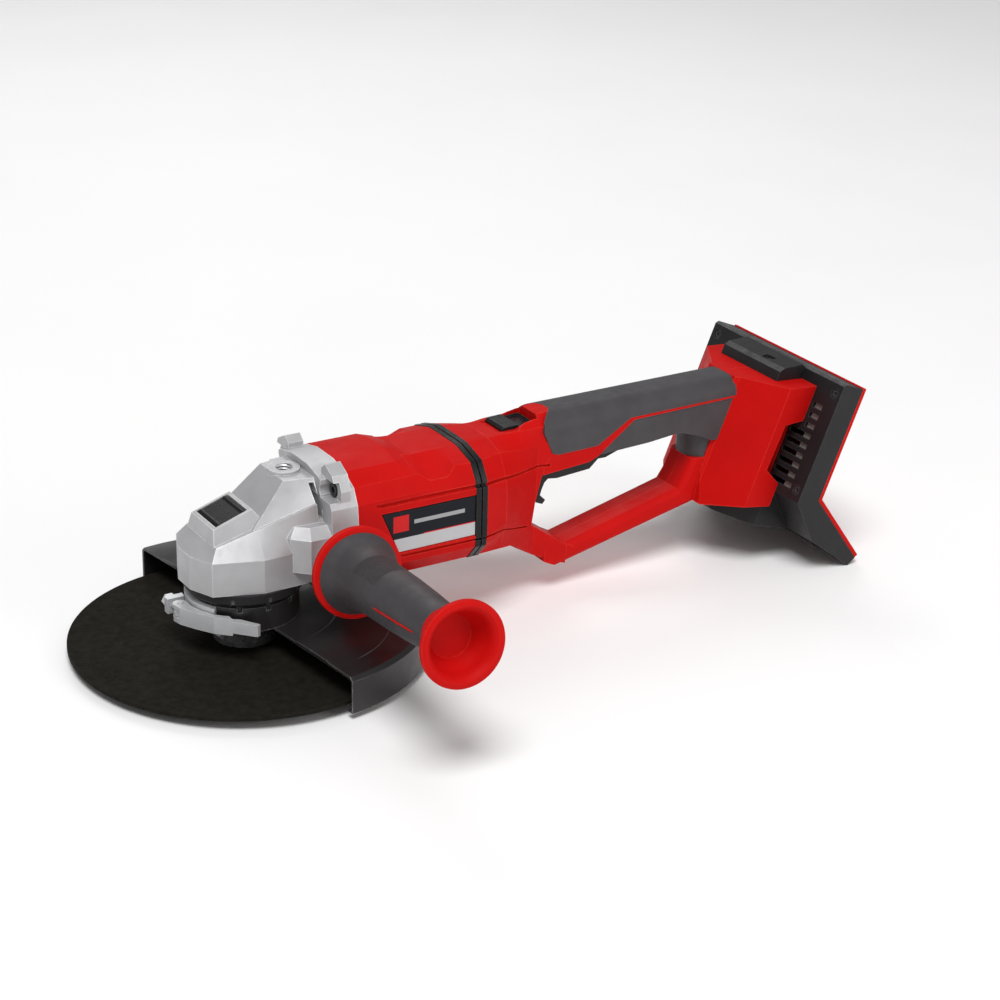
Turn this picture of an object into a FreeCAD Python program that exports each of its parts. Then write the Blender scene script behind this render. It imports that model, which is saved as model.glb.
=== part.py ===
import FreeCAD, Part
import math
import os
import re
import Sketcher

# Battery angle grinder for 230 mm discs.
# Frame: millimetres, origin where the spindle axis crosses the disc's mid-plane, +Z up along the spindle,
# +X to the rear (towards the battery), -Y to the side that carries the side handle.

DIMENSIONS = [
    # disc, spindle and guard
    ("disc_radius", 115, "230 mm cutting disc"),
    ("disc_half_thick", 1.5, "3 mm disc"),
    ("disc_bore", 11.1, "22.2 mm bore"),
    ("spindle_radius", 7, "M14 thread"),
    ("spindle_end", -9, "free end below the disc"),
    ("flange_radius", 20.5, "inner flange and flange nut"),
    ("guard_radius", 122, "outer radius of the guard"),
    ("guard_top", 20, "upper face of the guard plate"),
    ("guard_sheet", 2, "guard plate"),
    ("guard_rim_low", -5, "lower edge of the rim"),
    ("guard_start", -83, "first edge of the guard, degrees"),
    ("guard_sweep", 182, "degrees the guard covers"),
    ("neck_radius", 30, "neck that the guard turns on"),
    ("neck_gap", 0.06, "running clearance of the guard"),
    ("collar_radius", 36, "guard collar"),
    ("collar_top", 38, "top of the guard collar"),
    # gear head
    ("flange_low", 40, "underside of the bearing flange"),
    ("skirt_low", 47, "bottom of the cast housing"),
    ("skirt_high", 70, "top of the upright skirt"),
    ("ridge_front", 77.7, "front of the shoulder ridge"),
    ("ridge_tilt", 17, "rise of the shoulder ridge, degrees"),
    ("nose", -42, "front of the housing"),
    ("hood_top", 112, "flat top of the hood"),
    ("head_boss_top", 114, "top threaded boss"),
    ("top_hole_at", 30, "top thread, behind the spindle"),
    ("side_hole_at", 45.5, "side threads, behind the spindle"),
    ("side_hole_high", 65, "side threads, above the disc"),
    ("thread_radius", 6, "tapped M14 hole"),
    ("boss_out", 51, "side boss face from the middle"),
    ("joint_plane", 60, "gear housing meets motor housing"),
    ("motor_axis", 74, "motor axis above the disc"),
    ("gear_apex", 0, "bevel gears' common apex"),
    # motor body
    ("bump_end", 97, "end of the raised top"),
    ("bump_foot", 111, "foot of the raised top"),
    ("ring_at", 147.5, "front face of the front ring"),
    ("ring_wide", 4, "width of each black ring"),
    ("ring_gap", 0.8, "gap between the rings"),
    ("ring_proud", 0.6, "rings stand out from the housing"),
    ("stator_radius", 35, "stator outside"),
    ("motor_bore", 36.4, "motor housing bore"),
    ("swivel_radius", 32.5, "swivel tube"),
    ("swivel_gap", 0.06, "running clearance of the swivel"),
    ("collar_end", 174.5, "handle collar meets handle shells"),
    # handle
    ("grip_start", 218.4, "front of the rubber grip, on top"),
    ("grip_end", 377, "rear of the rubber grip"),
    ("grip_half", 19, "half the grip's width"),
    ("grip_top", 119.5, "top of the grip"),
    ("core_half", 16, "half the grip core's width"),
    ("core_top", 117.2, "top of the grip core"),
    ("core_low", 89.5, "underside of the grip core"),
    ("cheek_half", 18.6, "half the width around the trigger"),
    ("bar_half", 15, "half the lower bar's width"),
    ("pillar_joint", 62.8, "the rear pillar turns from shell to grip"),
    ("trigger_half", 7.5, "half the trigger's width"),
    ("trigger_gap", 0.8, "trigger side clearance"),
    ("pivot_at", 296, "trigger pivot"),
    ("pivot_high", 88, "trigger pivot"),
    ("slider_half", 11, "half the slider's width"),
    ("slider_floor", 111.5, "floor of the slider's seat"),
    ("stem_half", 5.5, "half the slider stem's width"),
    # battery base, in its own leaning frame
    ("base_at", 393, "lower front corner of the base"),
    ("base_high", 42, "lower front corner of the base"),
    ("base_lean", 22.3, "lean of the base from upright, degrees"),
    ("base_half", 76, "half the base's width"),
    ("base_deep", 18, "black part of the base"),
    ("plate_deep", 3, "red plate behind the base"),
    ("base_tall", 90, "length of the base"),
    ("pod_half", 50, "half the width of the red pod"),
    # side handle, in its own frame
    ("handle_at", 44.7, "flange centre, X"),
    ("handle_out", -70.5, "flange centre, Y"),
    ("handle_high", 65.3, "flange centre, Z"),
    ("handle_rise", 6.7, "handle rises outwards, degrees"),
    ("handle_swing", 4.1, "handle points forwards, degrees"),
    ("handle_flange", 30.4, "flange radius"),
    ("handle_long", 153, "flange to end"),
    ("handle_cap", 27.4, "end cap radius"),
    ("stud_radius", 5.95, "stud in the tapped hole"),
]

doc = FreeCAD.newDocument("AngleGrinder")
dims = doc.addObject("Spreadsheet::Sheet", "dims")
for row, (alias, size, note) in enumerate(DIMENSIONS, start=1):
    dims.set(f"A{row}", alias)
    dims.set(f"B{row}", str(size))
    dims.setAlias(f"B{row}", alias)
    dims.set(f"C{row}", note)
doc.recompute()

HOUSING_SCREWS = [(-33, 106.5), (-34, 47.5), (33, 106.5), (34, 47.5)]
SHELL_SCREWS = [(184, 100), (184, 46), (250, 14.5), (318, 30), (204, 80), (345, 99)]
SHELL_SCREW_SEAT = 12

ALIASES = {alias for alias, size, note in DIMENSIONS}
nodes = []


# ---------------------------------------------------------------- expressions

def bound(expression):
    """The expression with every alias pointing at the sheet."""
    def cell(word):
        name = word.group(0)
        return "dims." + name if name in ALIASES else name
    return re.sub(r"[a-z_]+", cell, str(expression))


def value(expression):
    """The number an expression has now."""
    return float(dims.evalExpression(bound(expression)))


def bind(thing, prop, expression):
    thing.setExpression(prop, bound(expression))


# ---------------------------------------------------------------- sketches

def trace(sketch, points):
    """A closed polygon whose corners are bound to the sheet."""
    corners = [FreeCAD.Vector(value(across), value(up), 0) for across, up in points]
    count = len(corners)
    sketch.addGeometry([Part.LineSegment(corners[i], corners[(i + 1) % count]) for i in range(count)], False)
    joins = [Sketcher.Constraint("Coincident", i, 2, (i + 1) % count, 1) for i in range(count)]
    sketch.addConstraint(joins)
    for i, point in enumerate(points):
        for kind, expression in zip(("DistanceX", "DistanceY"), point):
            rule = sketch.addConstraint(Sketcher.Constraint(kind, -1, 1, i, 1, value(expression)))
            if not isinstance(expression, (int, float)):
                bind(sketch, f"Constraints[{rule}]", expression)


def trace_circle(sketch, across, up, radius):
    centre = FreeCAD.Vector(value(across), value(up), 0)
    sketch.addGeometry(Part.Circle(centre, FreeCAD.Vector(0, 0, 1), value(radius)), False)
    rules = [("DistanceX", (-1, 1, 0, 3), across), ("DistanceY", (-1, 1, 0, 3), up), ("Radius", (0,), radius)]
    for kind, places, expression in rules:
        rule = sketch.addConstraint(Sketcher.Constraint(kind, *places, value(expression)))
        bind(sketch, f"Constraints[{rule}]", expression)


def new_body(label):
    part = doc.addObject("PartDesign::Body", label)
    part.Label = label
    return part


def new_sketch(part, name, role, start, end, tilt=None):
    """A sketch on the body's own plane, set back so that a pad along its normal runs from start to end."""
    sketch = part.newObject("Sketcher::SketchObject", f"{part.Name}_{name}_sketch")
    plane = next(item for item in part.Origin.OriginFeatures if item.Role == role)
    sketch.AttachmentSupport = (plane, [""])
    sketch.MapMode = "FlatFace"
    if tilt:
        pivot_across, pivot_up, turn_axis, turn = tilt
        offset = FreeCAD.Vector(value(pivot_across), value(pivot_up), 0)
        spin = FreeCAD.Rotation(FreeCAD.Vector(*turn_axis), value(turn))
        sketch.AttachmentOffset = FreeCAD.Placement(offset, spin)
    bind(sketch, "AttachmentOffset.Base.z", f"-({end})" if role == "XZ_Plane" else start)
    return sketch


def grow(part, kind, name, sketch, start, end):
    feature = part.newObject(kind, f"{part.Name}_{name}")
    feature.Profile = sketch
    bind(feature, "Length", f"({end}) - ({start})")
    if kind == "PartDesign::Pocket":
        feature.Reversed = True
    return feature


def checked(part, name, make):
    """Runs a cutting feature and stops if it took nothing away."""
    doc.recompute()
    before = part.Shape.Volume
    feature = make()
    doc.recompute()
    if part.Shape.Volume > before - 0.01:
        raise RuntimeError(f"{part.Name}: cut {name} takes nothing away")
    return feature


def pad(part, name, role, points, start, end):
    sketch = new_sketch(part, name, role, start, end)
    trace(sketch, points)
    return grow(part, "PartDesign::Pad", name, sketch, start, end)


def cut(part, name, role, points, start, end, tilt=None):
    def make():
        sketch = new_sketch(part, name, role, start, end, tilt)
        trace(sketch, points)
        return grow(part, "PartDesign::Pocket", name, sketch, start, end)
    return checked(part, name, make)


def round_pad(part, name, role, centre, radius, start, end):
    sketch = new_sketch(part, name, role, start, end)
    trace_circle(sketch, centre[0], centre[1], radius)
    return grow(part, "PartDesign::Pad", name, sketch, start, end)


def round_cut(part, name, role, centre, radius, start, end):
    def make():
        sketch = new_sketch(part, name, role, start, end)
        trace_circle(sketch, centre[0], centre[1], radius)
        return grow(part, "PartDesign::Pocket", name, sketch, start, end)
    return checked(part, name, make)


def loft(part, name, role, sections, kind="PartDesign::AdditiveLoft"):
    """Flat-faced loft through outlines: each section is (height, points) or (height, points, tilt)."""
    sketches = []
    for index, section in enumerate(sections):
        height, points = section[:2]
        tilt = section[2] if len(section) > 2 else None
        sketch = new_sketch(part, f"{name}{index}", role, height, height, tilt)
        trace(sketch, points)
        sketches.append(sketch)
    feature = part.newObject(kind, f"{part.Name}_{name}")
    feature.Profile = sketches[0]
    feature.Sections = sketches[1:]
    feature.Ruled = True
    return feature


def loft_cut(part, name, role, sections):
    """A groove or hollow whose section changes along the part."""
    return checked(part, name, lambda: loft(part, name, role, sections, "PartDesign::SubtractiveLoft"))


def facing(side, points):
    """An outline drawn for the +Y side, turned to the side asked for."""
    return [(side * across, up) for across, up in points]


def spin(part, name, points, about="V_Axis", angle=360, kind="PartDesign::Revolution"):
    """Turns a profile in the XZ plane about the sketch's vertical (Z) or horizontal (X) axis."""
    sketch = new_sketch(part, name, "XZ_Plane", 0, 0)
    trace(sketch, points)
    feature = part.newObject(kind, f"{part.Name}_{name}")
    feature.Profile = sketch
    feature.ReferenceAxis = (sketch, [about])
    bind(feature, "Angle", angle)
    return feature


def polar(part, name, feature, role, count):
    """Repeats a feature about one of the body's own axes and makes the pattern the body's tip."""
    pattern = part.newObject("PartDesign::PolarPattern", f"{part.Name}_{name}")
    pattern.Originals = [feature]
    axis = next(item for item in part.Origin.OriginFeatures if item.Role == role)
    pattern.Axis = (axis, [""])
    pattern.Angle = 360
    pattern.Occurrences = count
    part.Tip = pattern
    return pattern


def mirrored(points):
    """Both sides of an outline whose near side is given from bottom to top."""
    far = [(f"-({across})" if isinstance(across, str) else -across, up) for across, up in reversed(points)]
    return list(points) + far


# ---------------------------------------------------------------- placing and keeping

def lift(part, base, rotation=None):
    """Places a sub-part; its base is bound to the sheet."""
    place = FreeCAD.Placement(FreeCAD.Vector(*(value(number) for number in base)), rotation or FreeCAD.Rotation())
    part.Placement = place
    for axis, expression in zip("xyz", base):
        if not isinstance(expression, (int, float)):
            bind(part, f"Placement.Base.{axis}", expression)


def keep(part, label=None):
    """Adds a finished sub-part to the nodes that are written."""
    part.Label = label or part.Label
    nodes.append(part)
    return part


def leaned(part):
    """Stands a sub-part in the battery base's leaning frame."""
    lift(part, ("base_at", 0, "base_high"), FreeCAD.Rotation(FreeCAD.Vector(0, 1, 0), value("base_lean")))


def handle_frame():
    """Local +Z runs outwards along the side handle."""
    rise = math.radians(value("handle_rise"))
    swing = math.radians(value("handle_swing"))
    outward = FreeCAD.Vector(-math.sin(swing) * math.cos(rise), -math.cos(swing) * math.cos(rise), math.sin(rise))
    return FreeCAD.Rotation(FreeCAD.Vector(0, 0, 1), outward)


# ---------------------------------------------------------------- plain solids and booleans

def cylinder(name, radius, height, base, axis=(0, 0, 1)):
    solid = doc.addObject("Part::Cylinder", name)
    bind(solid, "Radius", radius)
    bind(solid, "Height", height)
    lift(solid, base, FreeCAD.Rotation(FreeCAD.Vector(0, 0, 1), FreeCAD.Vector(*axis)))
    return solid


def block(name, low, high):
    solid = doc.addObject("Part::Box", name)
    for prop, first, last in zip(("Length", "Width", "Height"), low, high):
        bind(solid, prop, f"({last}) - ({first})")
    lift(solid, low)
    return solid


def prism(name, points, low, high):
    """A polygon in the XZ plane, filled from y = low to y = high."""
    sketch = doc.addObject("Sketcher::SketchObject", f"{name}_sketch")
    trace(sketch, points)
    upright = FreeCAD.Rotation(FreeCAD.Vector(1, 0, 0), 90)
    lift(sketch, (0, high, 0), upright)
    solid = doc.addObject("Part::Extrusion", name)
    solid.Base = sketch
    solid.DirMode = "Normal"
    solid.Solid = True
    bind(solid, "LengthFwd", f"({high}) - ({low})")
    return solid


def plan_prism(name, points, low, high):
    """A polygon in the XY plane, filled from z = low to z = high."""
    sketch = doc.addObject("Sketcher::SketchObject", f"{name}_sketch")
    trace(sketch, points)
    lift(sketch, (0, 0, low))
    solid = doc.addObject("Part::Extrusion", name)
    solid.Base = sketch
    solid.DirMode = "Normal"
    solid.Solid = True
    bind(solid, "LengthFwd", f"({high}) - ({low})")
    return solid


def joined(name, solids):
    result = doc.addObject("Part::MultiFuse", name)
    result.Shapes = solids
    result.Refine = True
    return result


def shared(name, solids):
    result = doc.addObject("Part::MultiCommon", name)
    result.Shapes = solids
    result.Refine = True
    return result


def less(name, base, tool):
    result = doc.addObject("Part::Cut", name)
    result.Base = base
    result.Tool = tool
    result.Refine = True
    return result


def group(name, solids):
    """Separate solids of one kind, kept in one node."""
    result = doc.addObject("Part::Compound", name)
    result.Links = solids
    return keep(result, name)


def rounded(name, base, radius, chosen):
    """Fillets the edges that chosen(edge) accepts."""
    doc.recompute()
    feature = doc.addObject("Part::Fillet", name)
    feature.Base = base
    picked = [index for index, edge in enumerate(base.Shape.Edges, start=1) if chosen(edge)]
    feature.Edges = [(index, radius, radius) for index in picked]
    return feature


def along_x(edge):
    return edge.Curve.TypeId == "Part::GeomLine" and abs(edge.tangentAt(edge.FirstParameter).x) > 0.99


def screw(name, head_radius, head, shank_radius, shank, base, axis):
    """A socket-head screw: base is under the head, the axis points out of the head."""
    place = FreeCAD.Placement(FreeCAD.Vector(*(value(number) for number in base)),
                              FreeCAD.Rotation(FreeCAD.Vector(0, 0, 1), FreeCAD.Vector(*axis)))
    cap = cylinder(f"{name}_head", head_radius, head, (0, 0, 0))
    stem = cylinder(f"{name}_stem", shank_radius, shank, (0, 0, f"-({shank})"))
    socket = doc.addObject("Part::Prism", f"{name}_socket")
    socket.Polygon = 6
    bind(socket, "Circumradius", f"0.55 * ({head_radius})")
    bind(socket, "Height", head)
    lift(socket, (0, 0, f"0.45 * ({head})"))
    body = less(name, joined(f"{name}_solid", [cap, stem]), socket)
    body.Placement = place
    return body


def coil(label, base, radius, wire, pitch, height):
    """A helical spring standing on its base point."""
    helix = doc.addObject("Part::Helix", f"{label}_line")
    bind(helix, "Radius", radius)
    bind(helix, "Pitch", pitch)
    bind(helix, "Height", height)
    section = doc.addObject("Part::Circle", f"{label}_wire")
    bind(section, "Radius", wire)
    section.Placement = FreeCAD.Placement(FreeCAD.Vector(value(radius), 0, 0),
                                          FreeCAD.Rotation(FreeCAD.Vector(1, 0, 0), 90))
    sweep = doc.addObject("Part::Sweep", label)
    sweep.Sections = [section]
    doc.recompute()
    sweep.Spine = (helix, [f"Edge{index}" for index in range(1, len(helix.Shape.Edges) + 1)])
    sweep.Solid = True
    sweep.Frenet = True
    lift(sweep, base)
    return keep(sweep, label)


# ---------------------------------------------------------------- outlines shared by several sub-parts

def head_outline():
    """Section of the motor body where it meets the gear housing."""
    return mirrored([(-18, 33.5), (-35, 38.5), (-45, 50), (-46, 58), (-46, 85), (-44.7, 97.4), (-39.3, 107.9),
                     (-27, 114.6), (-11, 118.2)])


def body_outline(proud=0):
    """Section of the motor body at the black rings; proud moves every corner outwards."""
    near = [(-18, 33.5), (-35, 38.5), (-45, 50), (-46, 56), (-45.7, 92), (-43.5, 98), (-37, 107.5), (-18, 113), (-9, 113.2)]
    if not proud:
        return mirrored(near)
    middle = 73
    moved = []
    for across, up in near:
        reach = math.hypot(across, up - middle)
        share = 1 + value(proud) / reach
        moved.append((across * share, middle + (up - middle) * share))
    return mirrored(moved)


# ---------------------------------------------------------------- gear head

def gear_housing():
    part = new_body("gear_housing")
    skirt = [("nose", -9), (-34.5, -27), (-3, -37.5), (22, -37), (46, -34)]
    far = [(across, -up) for across, up in reversed(skirt)]
    plan = skirt + far
    ridge = [(0, -9), (1, -22), (30, -26), (52, -29), (73, -32), (73, 32), (52, 29), (30, 26), (1, 22), (0, 9)]
    lean = (-30, 0, (0, 1, 0), "-ridge_tilt")
    pad(part, "skirt", "XY_Plane", plan, "skirt_low", "skirt_high")
    loft(part, "shoulder", "XY_Plane", [("skirt_high", plan), ("ridge_front", ridge, lean)])
    block_foot = [(0, -20.5), (38, -23), (38, 23), (0, 20.5)]
    block_head = [(2.5, -16.3), (31, -16.3), (31, 16.3), (2.5, 16.3)]
    slope = (-30.5, 0, (0, 1, 0), "-1.1 * ridge_tilt")
    loft(part, "block", "XY_Plane", [("ridge_front - 2", block_foot, lean), ("ridge_front + 9.5", block_head, slope)])
    hood_foot = [(24, -25), (73, -31.5), (73, 31.5), (24, 25)]
    hood_head = [(21.3, -16.5), (41, -20.5), (41, 20.5), (21.3, 16.5)]
    loft(part, "hood", "XY_Plane", [("ridge_front - 2", hood_foot, lean), ("hood_top", hood_head)])
    pad(part, "collar", "YZ_Plane", head_outline(), 41, "joint_plane")
    round_pad(part, "top_boss", "XY_Plane", ("top_hole_at", 0), 10.5, 100, "head_boss_top")
    round_pad(part, "side_boss", "XZ_Plane", ("side_hole_at", "side_hole_high"), 14.5, "-boss_out", "boss_out")
    for side, name in ((-1, "near"), (1, "far")):
        wide = [(14, side * 30), (16, side * 36), (26, side * 45.5), ("joint_plane", side * 46), ("joint_plane", side * 30)]
        narrow = [(19, side * 27), (21, side * 32), (29, side * 38), ("joint_plane", side * 39), ("joint_plane", side * 27)]
        loft(part, f"{name}_cheek", "XY_Plane", [(57, wide), (80, wide), (86, narrow)])
        ear = facing(side, [(23, 100), (23, 119), (28, 123), (38, 118), (43, 108), (43, 98)])
        pad(part, f"{name}_ear", "YZ_Plane", ear, 45, "joint_plane - 4")
        foot = [(side * 23, 36), (side * 40, 44), (side * 44, 54), (side * 23, 54)]
        pad(part, f"{name}_foot", "YZ_Plane", foot, 41, "joint_plane")
    round_cut(part, "gear_chamber", "XY_Plane", (0, 0), 29, 46, 71)
    round_cut(part, "upper_seat", "XY_Plane", (0, 0), 8, 70, 81.1)
    round_cut(part, "shaft_channel", "YZ_Plane", (0, "motor_axis"), 20.5, 15.8, 61)
    round_cut(part, "fan_chamber", "YZ_Plane", (0, "motor_axis"), 38, 54, 61)
    button = [(-25.6, -14.6), (-3.4, -14.6), (-3.4, 14.6), (-25.6, 14.6)]
    cut(part, "button_pocket", "XY_Plane", button, 82.8, 110)
    round_cut(part, "pin_guide", "XY_Plane", (-14, 0), 2.6, 69, 86)
    round_cut(part, "spring_pocket", "XY_Plane", (-14, 0), 4.6, 73, 86)
    round_cut(part, "top_thread", "XY_Plane", ("top_hole_at", 0), "thread_radius", 96, 116)
    for side, name in ((-1, "near"), (1, "far")):
        slot = [(38.2, 87), (41, 88), (39.9, 109.5), (36.6, 109.5)]
        cut(part, f"{name}_slot", "XZ_Plane", slot, *sorted((side * 17, side * 40)))
        window = facing(side, [(50, 101.5), (29.5, 101.5), (29.5, 114), (50, 114)])
        cut(part, f"{name}_window", "YZ_Plane", window, 40.5, 49)
        thread_hole(part, name, side)
    for index, spot in enumerate(HOUSING_SCREWS):
        round_cut(part, f"screw_pocket{index}", "YZ_Plane", spot, 5, 40, 52)
        round_cut(part, f"screw_hole{index}", "YZ_Plane", spot, 2.55, 50, 61)
    return keep(part)


def thread_hole(part, name, side):
    """The tapped side hole, on the side handle's own line or its mirror image."""
    outward = handle_frame().multVec(FreeCAD.Vector(0, 0, 1))
    axis = FreeCAD.Vector(outward.x, -side * outward.y, outward.z)
    centre = FreeCAD.Vector(value("handle_at"), -side * value("handle_out"), value("handle_high"))
    deep = 44
    foot = centre - axis * deep

    def make():
        hole = part.newObject("PartDesign::SubtractiveCylinder", f"{part.Name}_{name}_thread")
        bind(hole, "Radius", "thread_radius")
        hole.Height = deep
        hole.Placement = FreeCAD.Placement(foot, FreeCAD.Rotation(FreeCAD.Vector(0, 0, 1), axis))
        return hole
    return checked(part, f"{name}_thread", make)


def bearing_flange():
    part = new_body("bearing_flange")
    profile = [(9.5, 19.6), ("neck_radius", 19.6), ("neck_radius", 38.6), (37, 38.6), (39, "flange_low + 1"),
               (39, "skirt_low"), (17.52, "skirt_low"), (17.52, 36), (9.5, 36)]
    spin(part, "turned", profile)
    ear = [(25, -18), (40, -14), (40, 14), (25, 18)]
    pad(part, "tongue", "XY_Plane", ear, "flange_low", "skirt_low")
    for index in range(4):
        angle = math.radians(45 + 90 * index)
        spot = (33.5 * math.cos(angle), 33.5 * math.sin(angle))
        round_cut(part, f"head{index}", "XY_Plane", spot, 3.3, 38, 42.5)
        round_cut(part, f"hole{index}", "XY_Plane", spot, 1.75, 42, 48)
    for index in range(10):
        angle = 36 * index + 18
        spot = (36.8 * math.cos(math.radians(angle)), 36.8 * math.sin(math.radians(angle)))
        if 5 < index < 9:
            round_cut(part, f"notch{index}", "XY_Plane", spot, 2.2, 38, 44)
    return keep(part)


def gear_head_fasteners():
    flange = []
    for index in range(4):
        angle = math.radians(45 + 90 * index)
        spot = (33.5 * math.cos(angle), 33.5 * math.sin(angle), 42.5)
        flange.append(screw(f"flange_screw{index}", 3, 2.6, 1.7, 4.4, spot, (0, 0, -1)))
    group("flange_screws", flange)
    housing = []
    for across, height in HOUSING_SCREWS:
        housing.append(screw(f"housing_screw{len(housing)}", 4.4, 4, 2.5, 16, (52, across, height), (-1, 0, 0)))
    group("housing_screws", housing)


def spindle_group():
    spindle = new_body("spindle")
    profile = [(0, "spindle_end"), ("spindle_radius - 1", "spindle_end"), ("spindle_radius", "spindle_end + 1"),
               ("spindle_radius", 9), (9, 9), (9, 36.5), (7.47, 36.5), (7.47, 50), (6.5, 50), (6.5, 71),
               (4.97, 71), (4.97, 80.4), (0, 80.4)]
    spin(spindle, "turned", profile)
    keep(spindle)

    gear = new_body("bevel_gear")
    cone = [(6.5, 55), (22, 55), (25.5, 59.5), (26, 66.2), (11, 69.4), (11, 70.4), (6.5, 70.4)]
    spin(gear, "turned", cone)
    for index in range(4):
        angle = math.radians(90 * index)
        spot = (14 * math.cos(angle), 14 * math.sin(angle))
        round_cut(gear, f"lock_hole{index}", "XY_Plane", spot, 3.4, 59, 72)
    tooth = pad(gear, "tooth", "XZ_Plane", [(19.5, 67), (25.6, 65.7), (25.6, 67.5), (19.5, 69)], -0.8, 0.8)
    polar(gear, "teeth", tooth, "Z_Axis", 36)
    keep(gear)

    seat = new_body("inner_flange")
    spin(seat, "turned", [(7.02, "disc_half_thick"), ("flange_radius", "disc_half_thick"),
                          ("flange_radius", 5.5), (17.5, 8.9), (7.02, 8.9)])
    keep(seat)

    disc = new_body("cutting_disc")
    spin(disc, "turned", [("disc_bore", "-disc_half_thick"), ("disc_radius", "-disc_half_thick"),
                          ("disc_radius", "disc_half_thick"), ("disc_bore", "disc_half_thick")])
    keep(disc)

    nut = new_body("flange_nut")
    spin(nut, "turned", [(7.02, "-disc_half_thick"), ("flange_radius", "-disc_half_thick"),
                         ("flange_radius", -6), (17, -8), (7.02, -8)])
    for across in (-14, 14):
        round_cut(nut, f"pin_hole{'a' if across < 0 else 'b'}", "XY_Plane", (across, 0), 2.5, -9, -3)
    keep(nut)


def ring_bearing(label, inner, outer, start, end, axis):
    part = new_body(label)
    middle = (inner + outer) / 2
    half_gap = (outer - inner) / 6
    profile = [(inner, start), (outer, start), (outer, end), (middle + half_gap, end), (middle + half_gap, end - 1),
               (middle - half_gap, end - 1), (middle - half_gap, end), (inner, end)]
    if axis == "X":
        profile = [(up, across) for across, up in profile]
        spin(part, "turned", profile, "H_Axis")
        lift(part, (0, 0, "motor_axis"))
    else:
        spin(part, "turned", profile)
    return keep(part)


def spindle_lock():
    button = new_body("lock_button")
    outline = [(-25, 86.2), (-4, 86.2), (-4, 95.6), (-6.5, 95.9), (-7.5, 94.6), (-22, 89.8), (-23, 90.3), (-25, 88.6)]
    pad(button, "top", "XZ_Plane", outline, -14, 14)
    keep(button)
    pin = new_body("lock_pin")
    round_pad(pin, "stem", "XY_Plane", (-14, 0), 2.5, 70.3, 86.2)
    keep(pin)


# ---------------------------------------------------------------- guard

def guard_parts():
    shell = new_body("guard_shell")
    under = "guard_top - guard_sheet"
    profile = [(31, under), (31, "guard_top"), (60, "guard_top"), (61, "guard_top + 0.8"), (94, "guard_top + 0.8"),
               (95.5, "guard_top"), ("guard_radius - 2.5", "guard_top"), ("guard_radius", "guard_top - 2.5"),
               ("guard_radius", "guard_rim_low"), ("guard_radius - 5", "guard_rim_low"),
               ("guard_radius - 5", "guard_rim_low + 1.6"), ("guard_radius - 1.6", "guard_rim_low + 1.6"),
               ("guard_radius - 1.6", "guard_top - 3.5"), ("guard_radius - 3.2", under)]
    spin(shell, "pressed", profile, angle="guard_sweep")
    turn = FreeCAD.Rotation(FreeCAD.Vector(0, 0, 1), value("guard_start"))
    lift(shell, (0, 0, 0), turn)
    keep(shell)

    collar = new_body("guard_collar")
    spin(collar, "band", [("neck_radius + neck_gap", "guard_top"), ("collar_radius", "guard_top"),
                          ("collar_radius", "collar_top - 1"), ("collar_radius - 1", "collar_top"),
                          ("neck_radius + neck_gap", "collar_top")])
    for index in range(9):
        angle = math.radians(-150 + 30 * index)
        spot = (collar_mid() * math.cos(angle), collar_mid() * math.sin(angle))
        round_cut(collar, f"notch{index}", "XY_Plane", spot, 1.6, 34, 40)
    keep(collar)

    bracket = new_body("clamp_bracket")
    band = [("collar_radius", 22), ("collar_radius + 2.6", 22), ("collar_radius + 2.6", 36), ("collar_radius", 37)]
    spin(bracket, "band", band, angle=70)
    lift(bracket, (0, 0, 0), FreeCAD.Rotation(FreeCAD.Vector(0, 0, 1), 145))
    keep(bracket)

    ear = new_body("clamp_lug")
    pad(ear, "ear", "XY_Plane", [(-37.4, 11), (-49, 11), (-49, 16), (-36.5, 16)], 22.5, 33)
    round_cut(ear, "hole", "XZ_Plane", (-44, 27.5), 2.6, 9, 18)
    keep(ear)

    bolt = new_body("clamp_adjuster")
    round_pad(bolt, "stem", "XZ_Plane", (-44, 27.5), 2.3, 4, 24)
    round_pad(bolt, "eye", "XY_Plane", (-44, 2.5), 4.4, 25.4, 29.6)
    hexagon = [(-44 + 5 * math.cos(math.radians(60 * k)), 27.5 + 5 * math.sin(math.radians(60 * k))) for k in range(6)]
    pad(bolt, "nut", "XZ_Plane", hexagon, 16, 21)
    round_cut(bolt, "eye_hole", "XY_Plane", (-44, 2.5), 2.22, 24, 31)
    keep(bolt)

    pin = new_body("lever_pin")
    round_pad(pin, "pin", "XY_Plane", (-44, 2.5), 2.2, 20.6, 34)
    keep(pin)

    lever = new_body("clamp_lever")
    arm = [(-48.6, 2.5), (-47.4, -4), (-41.5, -15), (-34, -26.5), (-23.5, -36.5), (-13.5, -47.5), (-11, -46.2),
           (-19, -34), (-27.5, -28), (-32.6, -22.9), (-37.2, -13.6), (-39.7, -4.5), (-39.4, 2.5)]
    pad(lever, "arm", "XY_Plane", arm, 21.2, 33)
    round_pad(lever, "barrel", "XY_Plane", (-44, 2.5), 4.6, 21.2, 33)
    slot = [(-50, -2.8), (-38, -2.8), (-38, 9), (-50, 9)]
    cut(lever, "clevis", "XY_Plane", slot, 24.8, 30.2)
    tip = [(-25, -29.5), (-9, -29.5), (-9, -50), (-25, -50)]
    cut(lever, "tip_top", "XY_Plane", tip, 31, 34)
    cut(lever, "tip_under", "XY_Plane", tip, 20, 23)
    round_cut(lever, "pin_hole", "XY_Plane", (-44, 2.5), 2.25, 20, 34)
    keep(lever)


def collar_mid():
    return value("collar_radius") + 0.2


# ---------------------------------------------------------------- motor body

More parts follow.
